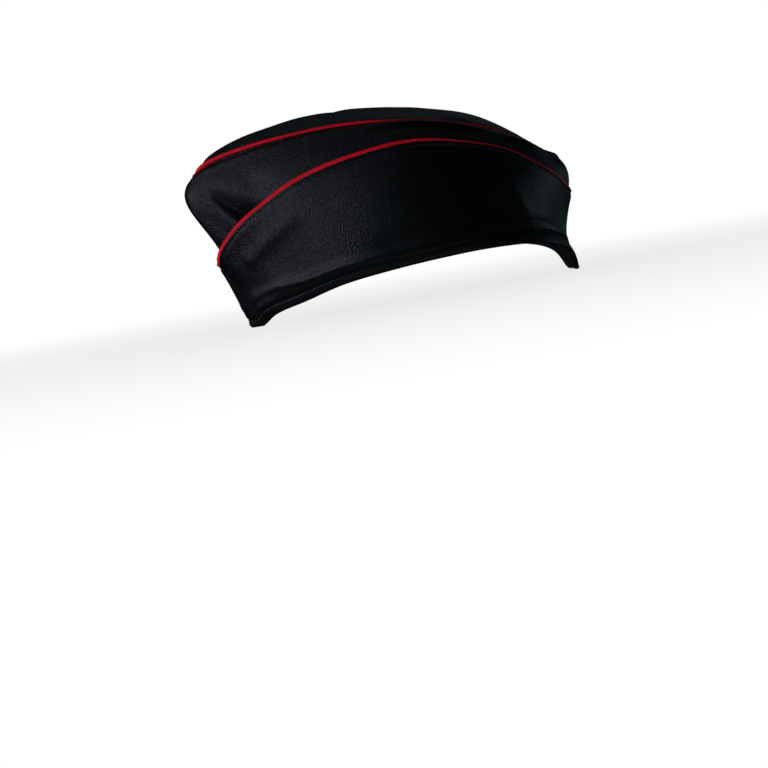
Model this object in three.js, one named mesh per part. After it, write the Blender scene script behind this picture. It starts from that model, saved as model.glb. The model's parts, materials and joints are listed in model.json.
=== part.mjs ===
// A leather side cap, opened as it is when worn and standing on its rim.
// The front of the cap faces -Y, the wearer's left is +X and up is +Z. Millimetres.
//
// Each half is a side panel (the crown's wall) with a turn-up folded up outside it. A top panel closes the
// crown between the two side panels. Piping fills the seam round the top panel and edges each turn-up.
// Every piece follows one reference wall, the outer face of a side panel, which is worked out from the
// sections below. A place on it is (t, h): t runs from the front seam to the back seam, h from rim to top seam.

import * as THREE from "three";

// Driving dimensions
const CROWN_LEATHER = 1.5; // thickness of the side panels and the top panel
const TURN_UP_LEATHER = 1.7; // thickness of the turn-up
const LAYER_GAP = 0.45; // between the side panel and the layers sewn against it
const SEAM_GAP = 0.3; // between pieces that are sewn edge to edge
const BEAD_WIDTH = 2.5; // piping, measured along the wall
const BEAD_DEPTH = 3.0; // piping, measured through the wall
const BEAD_PROUD = 0.35; // how far the top piping's middle stands out of its seam
const HEM_HEIGHT = 8; // from the rim's edge to the stitch line, and the lip inside
const HEM_SWELL = 0.4; // how far the hem swells out below the stitch line
const HEM_ROUND = 0.7; // rounding of the rim's two lower edges
const FLARE_HEIGHT = 20; // height over which the foot of the wall flares out
const FOLD_FADE = 12; // height over which the crown's own folds run out behind the turn-up's edge
const LEVEL_HEIGHT = 25; // height below which layers are set off level, so that the rim stays flat
const TOP_FROM = 0.026; // where the top panel's two ends are, as places t
const TOP_TO = 0.985;
const ORIGIN_BACK = 95.8; // distance from the rim's front tip back to the origin

// The sections of the left half, at even steps round the rim from the front seam to the back seam.
// rimBack, rimHalf, rimLift   foot of the wall: behind the front tip, beside the middle, above the floor.
//                             A lift below zero is pressed flat by the floor.
// flare                       how far the foot is turned out
// fold, stand                 height of the turn-up's edge, and how far it stands off the crown there
// seamBack, seamHalf, seamLift  seam of the top panel
// belly, bellyAt              how far the wall bows out, and the share of its height where it bows most
// dome                        rise of the top panel over its seams
const COLUMNS = [
  "rimBack", "rimHalf", "rimLift", "flare", "fold", "stand",
  "seamBack", "seamHalf", "seamLift", "belly", "bellyAt", "dome",
];
const SECTIONS = [
  [2.4, 0, -4.5, 0, 42, 3.8, -18.5, 0, 102.5, 11.3, 0.85, 0],
  [14.5, 14.5, 5.8, 0, 56, 2.8, -7.5, 10, 109.3, 11, 0.77, 4],
  [32, 36, 11.7, 0, 72.5, 1.6, 16, 21.5, 114, 13, 0.66, 7.5],
  [57, 55.5, 18.5, 0, 86, 1.2, 44, 30, 116.2, 14.5, 0.61, 10],
  [87, 70, 22, 0, 93.7, 1, 74, 36, 116.6, 15, 0.6, 10.8],
  [121, 77, 23.8, 0, 96.2, 1, 105, 38, 114.2, 15, 0.6, 10.8],
  [155, 74, 24.5, 0.5, 92.2, 1, 135, 35.5, 109.3, 14, 0.61, 10.3],
  [184, 57.5, 22.5, 1.4, 81, 1, 163, 28, 101.6, 12.5, 0.65, 8],
  [201.2, 32.5, 13.5, 2.5, 66, 1, 187.5, 15.5, 91, 11.5, 0.74, 3.4],
  [207.5, 0, -12, 2.8, 51, 1, 204.5, 0, 80.7, 12.8, 0.81, 0],
];

// Dents and folds of the soft leather. Each is a valley along a line on the wall, or a ridge where its depth
// is below zero. from and to are [distance round the rim from the front seam, height above the floor].
const HALF_ROUND = 286; // length of the left half of the rim
const CROWN_FOLDS = [
  { from: [38, 88], to: [54, 70], width: 8, depth: 4 },
  { from: [5, 82], to: [17, 66], width: 9, depth: -0.9 },
  { from: [66, 90], to: [73, 86], width: 6, depth: 0.9 },
];
const TURN_UP_FOLDS = [
  { from: [12, 34], to: [34, 26], width: 9, depth: 0.9 },
  { from: [50, 42], to: [60, 20], width: 11, depth: -1.0 },
  { from: [230, 60], to: [262, 30], width: 14, depth: 1.6 },
];

// Steps of the meshes
const T_STEPS = 34;
const CROWN_STEPS = 10;
const TURN_UP_STEPS = 7;
const TOP_STEPS = 8;
const BEAD_SIDES = 8;
const TINY = 1e-3; // step of the numerical slopes

const smooth = (x) => THREE.MathUtils.smoothstep(x, 0, 1);

// The sections' values at t, on a curve that passes through every row.
function sectionAt(t) {
  const last = SECTIONS.length - 1;
  const place = THREE.MathUtils.clamp(t, 0, 1) * last;
  const i = Math.min(Math.floor(place), last - 1);
  const f = place - i;
  const found = {};
  COLUMNS.forEach((name, column) => {
    const b = SECTIONS[i][column];
    const c = SECTIONS[i + 1][column];
    const a = i > 0 ? SECTIONS[i - 1][column] : 2 * b - c;
    const d = i + 2 <= last ? SECTIONS[i + 2][column] : 2 * c - b;
    found[name] =
      0.5 * (2 * b + (c - a) * f + (2 * a - 5 * b + 4 * c - d) * f ** 2 + (3 * b - a - 3 * c + d) * f ** 3);
  });
  found.rimLift = Math.max(found.rimLift, 0);
  found.height = found.seamLift - found.rimLift;
  return found;
}

// A bow that is 0 at both ends of 0 to 1 and 1 at its peak.
function bow(h, peak) {
  const power = peak / (1 - peak);
  return (Math.max(h, 0) ** power * (1 - h)) / (peak ** power * (1 - peak));
}

// A point of the reference wall of the left half, before dents.
function wall(t, h) {
  const s = sectionAt(t);
  const foot = 1 - THREE.MathUtils.clamp((h * s.height) / FLARE_HEIGHT, 0, 1);
  const out = s.belly * bow(h, s.bellyAt) + s.flare * foot ** 2;
  const facing = Math.PI * t;
  return new THREE.Vector3(
    THREE.MathUtils.lerp(s.rimHalf, s.seamHalf, h) + out * Math.sin(facing),
    THREE.MathUtils.lerp(s.rimBack, s.seamBack, h) - out * Math.cos(facing) - ORIGIN_BACK,
    THREE.MathUtils.lerp(s.rimLift, s.seamLift, h),
  );
}

// How deep the listed folds dent the wall at a place.
function dent(folds, t, h) {
  const s = sectionAt(t);
  const here = new THREE.Vector3(t * HALF_ROUND, s.rimLift + h * s.height, 0);
  return folds.reduce((sum, { from, to, width, depth }) => {
    const line = new THREE.Line3(new THREE.Vector3(...from, 0), new THREE.Vector3(...to, 0));
    const near = line.closestPointToPoint(here, true, new THREE.Vector3());
    return sum + depth * Math.exp(-((here.distanceTo(near) / width) ** 2));
  }, 0);
}

// Height share of the turn-up's edge.
const foldShare = (s) => (s.fold - s.rimLift) / s.height;

// The turn-up's folds die out above the hem. The side panel under it follows them, and has its own above it.
const turnUpDent = (t, h) =>
  dent(TURN_UP_FOLDS, t, h) * smooth((h * sectionAt(t).height) / HEM_HEIGHT - 1);

function crownDent(t, h) {
  const s = sectionAt(t);
  const above = (h - foldShare(s)) * s.height;
  return turnUpDent(t, h) + dent(CROWN_FOLDS, t, h) * smooth(above / FOLD_FADE + 0.5);
}

// A point that lies out from the wall, square to it. On the middle plane the two halves are mitred.
function layer(t, h, out) {
  const point = wall(t, h);
  const along = wall(Math.min(t + TINY, 1), h).sub(wall(Math.max(t - TINY, 0), h)).normalize();
  const up = wall(t, h + TINY).sub(wall(t, h - TINY));
  const square = new THREE.Vector3().crossVectors(along, up).normalize();
  square.z *= smooth((h * sectionAt(t).height) / LEVEL_HEIGHT);
  if (t === 0 || t === 1) square.addScaledVector(along, -square.x / along.x);
  point.addScaledVector(square, out);
  point.x = Math.max(point.x, SEAM_GAP / 2);
  return point;
}

// Share of the wall's height that a length along the wall takes up at (t, h).
const share = (t, h, length) => length / (wall(t, h + TINY).distanceTo(wall(t, h - TINY)) / (2 * TINY));

const range = (steps) => Array.from({ length: steps + 1 }, (_, i) => i / steps);

// Steps of t, closer together towards the seams, where the cap turns sharply.
const tSteps = range(T_STEPS).map((u) => (u + (1 - Math.cos(Math.PI * u)) / 2) / 2);

// A closed mesh from rings of points. Each ring has the same number of points and is drawn clockwise as seen
// from the next ring. The two ends are closed by strips between the ring's first half and its second half.
function loft(rings) {
  const count = rings[0].length;
  const at = (ring, k) => ring * count + (k % count);
  const index = [];
  const quad = (a, b, c, d) => index.push(a, b, c, a, c, d);
  for (let r = 0; r + 1 < rings.length; r++)
    for (let k = 0; k < count; k++) quad(at(r, k), at(r + 1, k), at(r + 1, k + 1), at(r, k + 1));
  const end = rings.length - 1;
  for (let k = 0; k < count / 2 - 1; k++) {
    const far = count - 1 - k;
    quad(at(0, k), at(0, k + 1), at(0, far - 1), at(0, far));
    quad(at(end, far), at(end, far - 1), at(end, k + 1), at(end, k));
  }
  const geometry = new THREE.BufferGeometry();
  geometry.setFromPoints(rings.flat());
  geometry.setIndex(index);
  geometry.computeVertexNormals();
  return geometry;
}

// Side panel: the wall from inside the hem up to the top piping.
function sidePanel() {
  const clearOfHem = TURN_UP_LEATHER + LAYER_GAP;
  const clearOfBead = BEAD_WIDTH / 2 + SEAM_GAP;
  return loft(
    tSteps.map((t) => {
      const low = clearOfHem / sectionAt(t).height;
      const high = 1 - share(t, 1, clearOfBead);
      const heights = range(CROWN_STEPS).map((v) => THREE.MathUtils.lerp(low, high, v));
      const outer = heights.map((h) => layer(t, h, -crownDent(t, h)));
      const inner = heights.map((h) => layer(t, h, -crownDent(t, h) - CROWN_LEATHER));
      return [...outer, ...inner.reverse()];
    }),
  );
}

// How far the turn-up's inner face is from the wall at a height.
const standOff = (s, h) => LAYER_GAP + s.stand * (Math.max(h, 0) / foldShare(s)) ** 1.5;

// Turn-up: one layer of leather that runs down outside the side panel, turns under its lower edge as a hem
// and ends in a lip inside. skin is the face that shows, from the upper edge round to the lip.
function turnUp() {
  return loft(
    tSteps.map((t) => {
      const s = sectionAt(t);
      const edge = foldShare(s) * s.height;
      const lipIn = -CROWN_LEATHER - LAYER_GAP;
      const lipOut = lipIn - TURN_UP_LEATHER;
      const hemOut = LAYER_GAP + TURN_UP_LEATHER + HEM_SWELL;
      const heights = range(TURN_UP_STEPS).map((v) => THREE.MathUtils.lerp(edge, HEM_HEIGHT, v));
      const at = (height, out) => {
        const h = height / s.height;
        return layer(t, h, out - turnUpDent(t, h));
      };
      const skin = [
        ...heights.map((y) => at(y, standOff(s, y / s.height) + TURN_UP_LEATHER)),
        at(HEM_HEIGHT / 2, hemOut),
        at(HEM_ROUND, hemOut),
        at(0, hemOut - HEM_ROUND),
        at(0, lipOut + HEM_ROUND),
        at(HEM_ROUND, lipOut),
        at(HEM_HEIGHT, lipOut),
      ];
      const back = [
        ...heights.map((y) => at(y, standOff(s, y / s.height))),
        at(HEM_HEIGHT / 2, LAYER_GAP),
        at(TURN_UP_LEATHER + HEM_ROUND, LAYER_GAP),
        at(TURN_UP_LEATHER, LAYER_GAP - HEM_ROUND),
        at(TURN_UP_LEATHER, lipIn + HEM_ROUND),
        at(TURN_UP_LEATHER + HEM_ROUND, lipIn),
        at(HEM_HEIGHT, lipIn),
      ];
      return [...back, ...skin.reverse()];
    }),
  );
}

// A bead of piping along the wall. centre(t) gives the height share and the distance out of its middle.
function bead(centre) {
  return loft(
    tSteps.map((t) => {
      const { h, out } = centre(t);
      const tall = share(t, h, BEAD_WIDTH / 2);
      return Array.from({ length: BEAD_SIDES }, (_, k) => {
        const angle = (2 * Math.PI * k) / BEAD_SIDES;
        return layer(t, h + tall * Math.cos(angle), out - (BEAD_DEPTH / 2) * Math.sin(angle));
      });
    }),
  );
}

const topPiping = () => bead(() => ({ h: 1, out: BEAD_PROUD }));

const turnUpPiping = () =>
  bead((t) => {
    const s = sectionAt(t);
    const edge = foldShare(s);
    return {
      h: edge + share(t, edge, BEAD_WIDTH / 2 + SEAM_GAP),
      out: standOff(s, edge) + TURN_UP_LEATHER / 2 - turnUpDent(t, edge),
    };
  });

// Top panel: a domed strip between the two top pipings, running to a narrow end where they meet.
function topPanel() {
  const clear = BEAD_WIDTH / 2 + SEAM_GAP;
  const across = range(TOP_STEPS).map((v) => 1 - 2 * v);
  return loft(
    tSteps.map((u) => {
      const t = THREE.MathUtils.lerp(TOP_FROM, TOP_TO, u);
      const seam = wall(t, 1);
      const along = wall(t + TINY, 1).sub(wall(t - TINY, 1)).setZ(0).normalize();
      const half = seam.x - clear * along.y;
      const y = seam.y + clear * along.x;
      const face = (drop) =>
        across.map((q) => new THREE.Vector3(q * half, y, seam.z + sectionAt(t).dome * (1 - q * q) - drop));
      return [...face(0), ...face(CROWN_LEATHER).reverse()];
    }),
  );
}

// Finishes
const leather = new THREE.MeshStandardMaterial({ color: 0x0c0c0e, roughness: 0.45, metalness: 0 });
const redLeather = new THREE.MeshStandardMaterial({ color: 0xb3101f, roughness: 0.45, metalness: 0 });

function mesh(name, geometry, material) {
  const made = new THREE.Mesh(geometry, material);
  made.name = name;
  return made;
}

// One half of the cap. The right half is the left one mirrored.
function half(side) {
  const group = new THREE.Group();
  group.add(
    mesh(`crown_${side}`, sidePanel(), leather),
    mesh(`turn_up_${side}`, turnUp(), leather),
    mesh(`top_piping_${side}`, topPiping(), redLeather),
    mesh(`turn_up_piping_${side}`, turnUpPiping(), redLeather),
  );
  if (side === "right") group.scale.x = -1;
  return group;
}

const cap = new THREE.Group();
cap.add(half("left"), half("right"), mesh("crown_top", topPanel(), leather));

export default cap;
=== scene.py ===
"""A black leather side cap with red piping, standing on its rim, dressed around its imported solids.

Every piece follows one reference wall, the outer face of a side panel. A place on it is (t, h): t runs from
the front seam to the back seam, h from the rim to the seam of the top panel. Lengths in the shape functions
are millimetres. The front of the cap faces -Y, the wearer's left is +X and up is +Z.
"""

import json

import bpy
import numpy as np
from mathutils import Matrix

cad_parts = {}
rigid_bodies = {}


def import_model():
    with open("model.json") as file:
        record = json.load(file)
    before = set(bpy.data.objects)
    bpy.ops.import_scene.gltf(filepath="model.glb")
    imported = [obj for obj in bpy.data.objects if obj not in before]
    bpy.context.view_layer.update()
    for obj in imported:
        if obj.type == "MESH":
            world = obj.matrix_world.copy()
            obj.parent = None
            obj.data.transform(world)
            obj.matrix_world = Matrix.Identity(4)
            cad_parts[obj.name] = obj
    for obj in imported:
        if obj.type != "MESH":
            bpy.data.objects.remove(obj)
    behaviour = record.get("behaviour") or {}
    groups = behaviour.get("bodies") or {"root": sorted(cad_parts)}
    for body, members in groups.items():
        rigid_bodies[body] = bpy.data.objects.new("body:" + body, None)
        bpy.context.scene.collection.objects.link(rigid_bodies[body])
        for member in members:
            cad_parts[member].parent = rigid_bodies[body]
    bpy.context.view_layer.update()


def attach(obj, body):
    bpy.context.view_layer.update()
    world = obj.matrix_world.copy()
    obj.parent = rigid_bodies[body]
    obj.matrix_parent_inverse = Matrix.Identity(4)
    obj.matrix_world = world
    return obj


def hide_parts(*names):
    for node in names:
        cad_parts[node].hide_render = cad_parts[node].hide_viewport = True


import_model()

bl_info = {
    "name": "Side Cap",
    "version": (1, 0, 0),
    "blender": (4, 5, 0),
    "location": "View3D > Sidebar > Side Cap",
    "description": "Builds a leather side cap with piping, stitching and a studio stage",
    "category": "Add Mesh",
}

MM = 0.001

# The reference wall

COLUMNS = (
    "rim_back", "rim_half", "rim_lift", "flare", "fold", "stand",
    "seam_back", "seam_half", "seam_lift", "belly", "belly_at", "dome",
)
# Sections of the left half at even steps round the rim, front seam to back seam, close to the solids'.
SECTIONS = np.array([
    [0, 0, -3.8, 0, 44.5, 3.4, -20, 0, 102.5, 11.9, 0.84, 0],
    [10.8, 17.5, 5.8, 0, 57, 7, -8, 10, 109.3, 11, 0.77, 4.7],
    [32, 37.8, 11.5, -0.5, 73, 1.2, 18, 22, 114.1, 11, 0.66, 8.9],
    [57, 57.8, 17.8, -1.2, 86, 1.2, 46, 30.4, 116.2, 12, 0.61, 10.2],
    [87, 71.7, 21.4, -1.2, 93.7, 1, 75, 36.1, 116.6, 13.5, 0.6, 11.1],
    [121, 77.3, 23.6, -0.8, 96.2, 1, 105, 38, 114.2, 14.8, 0.6, 10.7],
    [155, 74, 24.2, 0.5, 92.2, 1, 135, 35.5, 109.3, 14, 0.6, 9.5],
    [184, 57.5, 21.4, 2.6, 81, 1, 163, 28, 101.2, 12.5, 0.61, 8.4],
    [202, 32.5, 12.6, 4.8, 66, 0.8, 187.5, 15.5, 90.4, 11.5, 0.66, 3.5],
    [208.4, 0, -8, 5.4, 51, 0.2, 204, 0, 79.8, 13.8, 0.775, 0],
])
HALF_ROUND = 286.0  # length of one half of the rim
ORIGIN_BACK = 95.8  # from the rim's front tip back to the origin
FLARE_HEIGHT = 27.0  # height over which the foot of the wall flares out
TUCK, TUCK_HEIGHT = 4.5, 7.5  # how far the rim is tucked in under the wall, and from what height on
LEVEL_HEIGHT = 25.0  # height below which layers are set off level, so that the rim stays flat
FOLD_FADE = 12.0  # height over which the crown's own folds run out behind the turn-up's edge
LAYER_GAP = 0.35  # between the side panel and the layers sewn against it
PLANE_LAP = 0.02  # how far a half runs past the middle plane
TOP_FROM, TOP_TO = 0.012, 0.9965  # where the top panel's two ends are, as places t
HEM_ROUND = 1.9  # radius of the hem's foot
LIP_LEATHER = 0.6  # thickness of the hem's lip inside, as a share of the turn-up's
LIP_GAP, LIP_DROP = 0.15, 0.8  # from the side panel to the lip, and from the hem's stitches down to its edge
INNER_FROM = 0.6  # where the turn-up's inner face starts above the side panel's foot
TINY = 1e-4  # step for slopes, in t and in h


def smooth(x):
    """0 below 0, 1 above 1, and 3x^2 - 2x^3 between."""
    x = np.clip(x, 0, 1)
    return x * x * (3 - 2 * x)


def hill(x, centre, width):
    """1 at the centre, and exp(-((x - centre) / width)^2) beside it."""
    return np.exp(-(((x - centre) / width) ** 2))


def sections_at(t):
    """The sections' values at t, on a Catmull-Rom curve that goes straight on beyond both ends."""
    last = len(SECTIONS) - 1
    before = 2 * SECTIONS[0] - SECTIONS[1]
    after = 2 * SECTIONS[-1] - SECTIONS[-2]
    rows = np.vstack([before, SECTIONS, after])
    inside = np.clip(t, 0, 1)
    i = np.minimum((inside * last).astype(int), last - 1)
    f = (inside * last - i)[..., None]
    a, b, c, d = rows[i], rows[i + 1], rows[i + 2], rows[i + 3]
    k1, k2, k3 = c - a, 2 * a - 5 * b + 4 * c - d, 3 * b - a - 3 * c + d
    value = 0.5 * (2 * b + k1 * f + k2 * f**2 + k3 * f**3)
    slope = 0.5 * (k1 + 2 * k2 * f + 3 * k3 * f**2) * last
    value = value + slope * (t - inside)[..., None]
    found = dict(zip(COLUMNS, np.moveaxis(value, -1, 0)))
    found["rim_lift"] = np.maximum(found["rim_lift"], 0)
    found["height"] = found["seam_lift"] - found["rim_lift"]
    found["fold_share"] = (found["fold"] - found["rim_lift"]) / found["height"]
    return found


def bow(h, peak):
    """A bow that is 0 at both ends of 0 to 1 and 1 at its peak: h^p (1 - h), scaled."""
    power = peak / (1 - peak)
    return np.maximum(h, 0) ** power * (1 - h) / (peak**power * (1 - peak))


def wall(t, h):
    """A point of the wall: a straight line from rim to seam, bowed out by its belly, flared at its foot.

    Its last few millimetres are tucked in, except at the back.
    """
    s = sections_at(t)
    foot = 1 - np.clip(h * s["height"] / FLARE_HEIGHT, 0, 1)
    tuck = TUCK * smooth((0.8 - t) / 0.2) * smooth((t + 0.02) / 0.1)
    edge = 1 - np.clip(h * s["height"] / TUCK_HEIGHT, 0, 1)
    out = s["belly"] * bow(h, s["belly_at"]) + s["flare"] * foot**2 - tuck * edge**1.3
    facing = np.pi * t
    x = s["rim_half"] + (s["seam_half"] - s["rim_half"]) * h + out * np.sin(facing)
    y = s["rim_back"] + (s["seam_back"] - s["rim_back"]) * h - out * np.cos(facing) - ORIGIN_BACK
    z = s["rim_lift"] + s["height"] * h
    return np.stack([x, y, z], -1)


def square(t, h):
    """The direction out of the wall: along the rim crossed with up the wall, level near the floor."""
    along = wall(t + TINY, h) - wall(t - TINY, h)
    up = wall(t, h + TINY) - wall(t, h - TINY)
    out = np.cross(along, up)
    out /= np.linalg.norm(out, axis=-1, keepdims=True)
    out[..., 2] *= smooth(h * sections_at(t)["height"] / LEVEL_HEIGHT)
    return out


def layer(t, h, out):
    """A point that lies out from the wall, square to it."""
    return wall(t, h) + square(t, h) * out[..., None]


def share(t, h, length):
    """Share of the wall's height that a length along the wall takes up at (t, h)."""
    rise = (wall(t, h + TINY) - wall(t, h - TINY)) / (2 * TINY)
    return length / np.linalg.norm(rise, axis=-1)


def seam_share(u):
    """Share of the wall's height that a millimetre along it takes up at the top seam."""
    return share(u, np.ones_like(u), 1.0)


def cut(end, h, out):
    """Where rows at h and out of the wall meet the middle plane: Newton steps on x from t = end."""
    t = np.full(h.shape, float(end))
    for _ in range(4):
        x = layer(t, h, out)[..., 0] + PLANE_LAP
        slope = (layer(t + TINY, h, out) - layer(t - TINY, h, out))[..., 0] / (2 * TINY)
        t = t - x / slope
    return t - end


def sewn(u, h, out):
    """Points of a layer whose rows run from the middle plane at the front to the middle plane at the back.

    u is t along the rows. The rows' two ends are moved along the wall to the plane, which fades as the
    eighth power of the distance from the other end.
    """
    u, h, out = np.broadcast_arrays(u, h, out)
    front = cut(0, h[:, :1], out[:, :1])
    back = cut(1, h[:, -1:], out[:, -1:])
    t = u + front * (1 - u) ** 8 + back * u**8
    return layer(t, h, out)


def columns(count):
    """Steps of t, closer together towards the seams, where the cap turns sharply."""
    u = np.linspace(0, 1, count)
    return (u + (1 - np.cos(np.pi * u)) / 2) / 2


# Folds and undulation of the soft leather, as places (distance round the rim s, height z)

# Each fold: start, end, width and depth. A depth below zero makes a ridge.
CROWN_FOLDS = (
    ((5, 84), (17, 60), 13, -1.9),
    ((30, 80), (44, 65), 8, -0.4),
    ((66, 90), (73, 86), 5.5, 0.9),
    ((40, 95), (54, 93), 5, -0.5),
)
CROWN_CREASE = ((35, 91), (51, 69.5), 7.0, 17.0, 3.0)  # start, end, depth, gentle width and steep width
TURN_UP_FOLDS = (
    ((46, 45), (84, 63), 4.2, -1.25),
    ((60, 43), (92, 55), 8, 0.3),
    ((50, 42), (58, 25), 10, -1.2),
    ((12, 34), (34, 26), 9, 0.9),
)
BACK_PRESS = ((203, 18), 400, 2.8)  # corner, bend and depth


def beside(s, z, start, end):
    """Share along a line from start to end, distance to the left of it, and the line's length."""
    start, end = np.array(start, float), np.array(end, float)
    line = end - start
    long = np.linalg.norm(line)
    line /= long
    ds, dz = s - start[0], z - start[1]
    return (ds * line[0] + dz * line[1]) / long, ds * -line[1] + dz * line[0], long


def valley(s, z, start, end, width, depth):
    """A soft valley along a line, or a ridge where depth is below zero: depth exp(-(distance / width)^2)."""
    along, off, long = beside(s, z, start, end)
    past = (along - np.clip(along, 0, 1)) * long
    return depth * np.exp(-(off**2 + past**2) / width**2)


def crease(s, z, start, end, depth, gentle, steep):
    """A wedge that widens and deepens along its line: a plain slope on its left side, steep on its right."""
    along, off, _ = beside(s, z, start, end)
    reach = 0.1 + np.clip(along, 0, 1.15)
    x = np.abs(off) / np.where(off > 0, gentle * reach, steep)
    slope = 0.15 * np.log1p(np.exp(np.clip((1.06 - np.hypot(x, 0.06)) / 0.15, -40, 40)))
    shape = np.where(off > 0, slope, np.exp(-(x**2)))
    return depth * reach * shape * smooth(along / 0.4 + 0.35) * smooth((1.9 - along) / 0.6)


def press(s, z, corner, bend, depth):
    """Leather pressed flat beyond a curve that bends round a corner: ds dz = bend, as distances from it.

    The dent sets in at the curve, sharply low down and softly higher up, runs out far from it and fades
    towards the top seam.
    """
    ds, dz = np.maximum(s - corner[0], 0.5), np.maximum(z - corner[1], 0.5)
    off = (ds * dz - bend) / np.hypot(ds, dz)
    soft = 0.9 + 2.6 * smooth((z - 50) / 25)
    side = np.log1p(np.exp(np.clip(off / soft, -40, 40))) * soft
    return depth * (1 - np.exp(-side / 9)) * hill(side, 0, 42) * smooth((86 - z) / 16)


def undulation(s, z, seed):
    """Broad waves of soft leather: sines of 34 to 90 mm with seeded directions and phases."""
    dice = np.random.RandomState(seed)
    total = np.zeros(np.broadcast(s, z).shape)
    for _ in range(9):
        turn = dice.uniform(0, np.pi)
        wave = 2 * np.pi / dice.uniform(34, 90)
        phase = dice.uniform(0, 2 * np.pi)
        total = total + np.sin(wave * (s * np.cos(turn) + z * np.sin(turn)) + phase)
    return total / 3


def pucker(s, off, seed, reach):
    """Small waves where leather is gathered by a seam: sines of 5 to 15 mm that fade away from it."""
    dice = np.random.RandomState(seed)
    total = np.zeros(np.shape(s))
    for _ in range(6):
        wave = 2 * np.pi / dice.uniform(5, 15)
        total = total + np.sin(wave * s + dice.uniform(0, 2 * np.pi))
    return total / 2.5 * np.exp(-np.abs(off) / reach)


def seam_fade(s):
    """0 on the middle plane, 1 from 14 mm beside it."""
    return smooth(s / 14) * smooth((HALF_ROUND - s) / 14)


def hem_at(cap, u):
    """Height of the hem's stitches above the rim: about two thirds of the back's from the middle forward."""
    return cap.hem_height / MM * (1 - 0.32 * smooth((0.72 - u) / 0.2))


def turn_up_dent(s, z, above, seed, hem):
    """How far the turn-up, and the side panel under it, are dented. The folds die out above the hem."""
    total = sum(valley(s, z, *fold) for fold in TURN_UP_FOLDS) + press(s, z, *BACK_PRESS)
    waves = 0.32 * undulation(s, z, seed)
    return (total + waves) * smooth(above / hem - 0.9) * seam_fade(s)


def crown_dent(s, z, above, past_fold, seed, hem):
    """The turn-up's dents, and the side panel's own folds above the turn-up's edge."""
    folds = sum(valley(s, z, *fold) for fold in CROWN_FOLDS) * smooth(past_fold / FOLD_FADE + 0.5)
    inward = crease(s, z, *CROWN_CREASE) * smooth(past_fold / FOLD_FADE + 1)
    return turn_up_dent(s, z, above, seed, hem) + (folds + inward) * smooth(s / 10)


def seam_roll(u, h, radius):
    """Distance that a panel's edge rolls in beside the middle plane, as a quarter round of this radius."""
    speed = np.linalg.norm(wall(u + TINY, h) - wall(u - TINY, h), axis=-1) / (2 * TINY)
    near = np.minimum(u * speed[:, :1], (1 - u) * speed[:, -1:])
    x = np.clip(1 - near / radius, 0, 1)
    return radius * (1 - np.sqrt(1 - (0.96 * x) ** 2))


def edge_roll(distance, radius):
    """Distance that a layer rolls in near its edge, as a quarter round of this radius."""
    x = np.clip(1 - distance / radius, 0, 1)
    return radius * (1 - np.sqrt(1 - (0.97 * x) ** 2))


# Surfaces of the two layers


def bead_half(cap):
    """Half the width of the piping's bead."""
    return cap.piping_width / MM / 2


def top_bead_size(cap, u):
    """Half the width of the top seam's piping: full at the front, and thin towards the back."""
    return bead_half(cap) * (1.35 - 0.45 * smooth(u / 0.32) - 0.35 * smooth((u - 0.45) / 0.3))


def turn_up_bead_size(cap, u):
    """Half the width of the turn-up's piping: fullest at the middle, and thin at the back."""
    return bead_half(cap) * (0.8 + 0.2 * smooth((u - 0.15) / 0.3) - 0.66 * smooth((u - 0.45) / 0.36))


def top_bead_room(cap, u):
    """How far the leather on both sides of the top seam stops short of it, so that it meets the piping."""
    widest = np.minimum(bead_half(cap), top_bead_size(cap, u))
    return widest - 0.1 - 0.25 * smooth((u - 0.45) / 0.3)


def drawn_in(u):
    """Share of the pull on the top seam behind its middle: 1 from t = 0.62 to 0.7, fading to both sides."""
    return smooth((u - 0.42) / 0.2) * smooth((0.8 - u) / 0.1)


def top_stitch(cap, u):
    """Distance of the top seam's stitches from the piping: further off towards the front."""
    return cap.stitch_inset / MM + 1.7 * (1 - smooth(u / 0.35))


def crown_out(cap, u, h, seed):
    """How far the side panel's outer face is from the wall.

    The wall's dents, a puffed shoulder under the top seam, a hump at the back, and a groove where the
    stitches pull it in.
    """
    s = sections_at(u)
    place, z = u * HALF_ROUND, s["rim_lift"] + h * s["height"]
    hem = hem_at(cap, u)
    dent = crown_dent(place, z, h * s["height"], (h - s["fold_share"]) * s["height"], seed, hem)
    below = (1 - h) / seam_share(u) - bead_half(cap)
    rear = drawn_in(u)
    shoulder = 0.45 * hill(below, 5.5, 3.2) + rear * 1.9 * hill(below, 4.3, 2.9)
    hump = 1.2 * smooth((u - 0.72) / 0.16) * hill(below, 9.5, 5)
    groove = (0.3 - 0.15 * rear) * hill(below, top_stitch(cap, u), 0.9)
    gather = 0.13 * pucker(place, below, seed + 1, 5.0)
    return (shoulder + gather) * seam_fade(place) + hump - groove - dent


def stand_off(s, h):
    """How far the turn-up's inner face is from the wall."""
    return LAYER_GAP + s["stand"] * (np.maximum(h, 0) / s["fold_share"]) ** 1.15


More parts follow.
